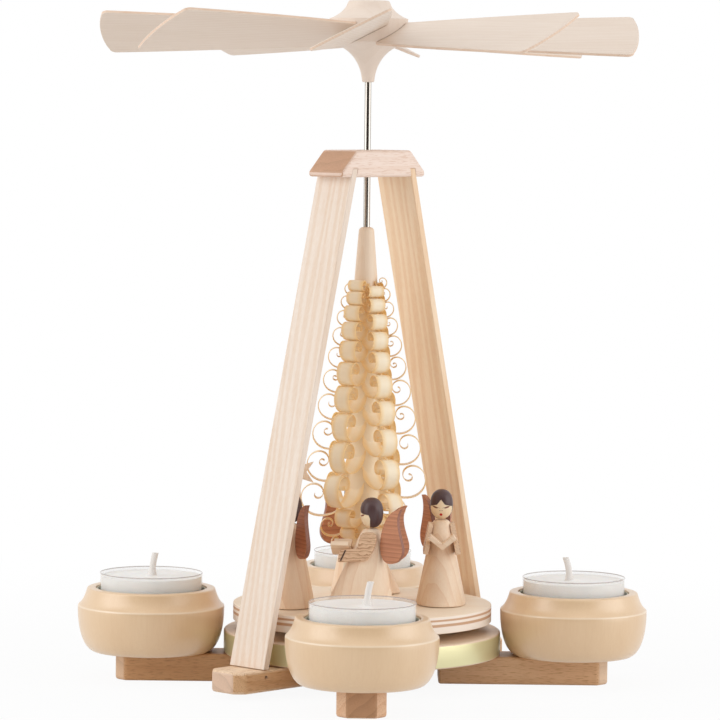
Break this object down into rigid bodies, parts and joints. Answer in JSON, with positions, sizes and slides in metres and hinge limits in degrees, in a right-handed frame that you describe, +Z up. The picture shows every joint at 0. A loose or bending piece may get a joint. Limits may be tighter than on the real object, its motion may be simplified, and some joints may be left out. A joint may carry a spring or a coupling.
{
  "type": "christmas pyramid",
  "caption": "Wooden carousel pyramid: angels on a turntable round a tree of shaved curls, turned by a bladed fan over tealights in turned bowls on a cross of arms.",
  "frame": {"origin": "on the table, under the axis that the rotor turns on", "axes": "+Z up along the rotor's axis, -Y towards the front bowl, +X towards the right-hand bowl"},
  "size_m": [0.216, 0.216, 0.2573],
  "materials": {
    "beech": "fine-sanded beech, flecked",
    "ash": "fine-sanded ash, striped grain",
    "maple": "waxed maple",
    "lime": "raw lime wood",
    "plywood": "birch plywood",
    "walnut": "sawn reddish hardwood",
    "painted": "turned ball with painted hair and face",
    "steel": "plain steel",
    "brass": "plain brass",
    "glass": "clear glass",
    "wax": "white wax"
  },
  "bodies": {
    "frame": {"candle_arm_left": "beech", "candle_arm_right": "beech", "candle_arm_front": "beech", "candle_arm_back": "beech", "foot_beam": "beech", "base_disc": "lime", "bearing_cup": "steel", "leg_left": "ash", "leg_right": "ash", "bridge": "beech", "bridge_bush": "brass", "candle_bowl_left": "maple", "candle_bowl_right": "maple", "candle_bowl_front": "maple", "candle_bowl_back": "maple", "bowl_liner_left": "steel", "bowl_liner_right": "steel", "bowl_liner_front": "steel", "bowl_liner_back": "steel"},
    "rotor": {"shaft": "steel", "turntable": "plywood", "curl_tree": "lime", "angel_left_body": "maple", "angel_left_head": "painted", "angel_left_outer_wing": "walnut", "angel_left_inner_wing": "walnut", "angel_left_star": "maple", "angel_right_body": "maple", "angel_right_head": "painted", "angel_right_outer_wing": "walnut", "angel_right_inner_wing": "walnut", "angel_right_book": "maple", "angel_front_body": "maple", "angel_front_head": "painted", "angel_front_outer_wing": "walnut", "angel_front_inner_wing": "walnut", "angel_front_book": "maple", "angel_back_body": "maple", "angel_back_head": "painted", "angel_back_outer_wing": "walnut", "angel_back_inner_wing": "walnut", "angel_back_book": "maple"},
    "fan": {"fan_hub": "lime", "fan_blade_1": "lime", "fan_blade_2": "lime", "fan_blade_3": "lime", "fan_blade_4": "lime", "fan_blade_5": "lime", "fan_blade_6": "lime", "fan_blade_7": "lime", "fan_blade_8": "lime"},
    "tealight_left": {"tealight_cup_left": "glass", "tealight_candle_left": "wax"},
    "tealight_right": {"tealight_cup_right": "glass", "tealight_candle_right": "wax"},
    "tealight_front": {"tealight_cup_front": "glass", "tealight_candle_front": "wax"},
    "tealight_back": {"tealight_cup_back": "glass", "tealight_candle_back": "wax"}
  },
  "joints": [
    {"name": "rotor_spin", "type": "hinge", "parent": "frame", "child": "rotor", "pos_m": [0, 0, 0.02], "axis": [0, 0, 1], "continuous": true},
    {"name": "fan_lift", "type": "slide", "parent": "rotor", "child": "fan", "axis": [0, 0, 1], "range_m": [0, 0.02]},
    {"name": "tealight_lift_left", "type": "slide", "parent": "frame", "child": "tealight_left", "axis": [0, 0, 1], "range_m": [0, 0.03]},
    {"name": "tealight_lift_right", "type": "slide", "parent": "frame", "child": "tealight_right", "axis": [0, 0, 1], "range_m": [0, 0.03]},
    {"name": "tealight_lift_front", "type": "slide", "parent": "frame", "child": "tealight_front", "axis": [0, 0, 1], "range_m": [0, 0.03]},
    {"name": "tealight_lift_back", "type": "slide", "parent": "frame", "child": "tealight_back", "axis": [0, 0, 1], "range_m": [0, 0.03]}
  ]
}
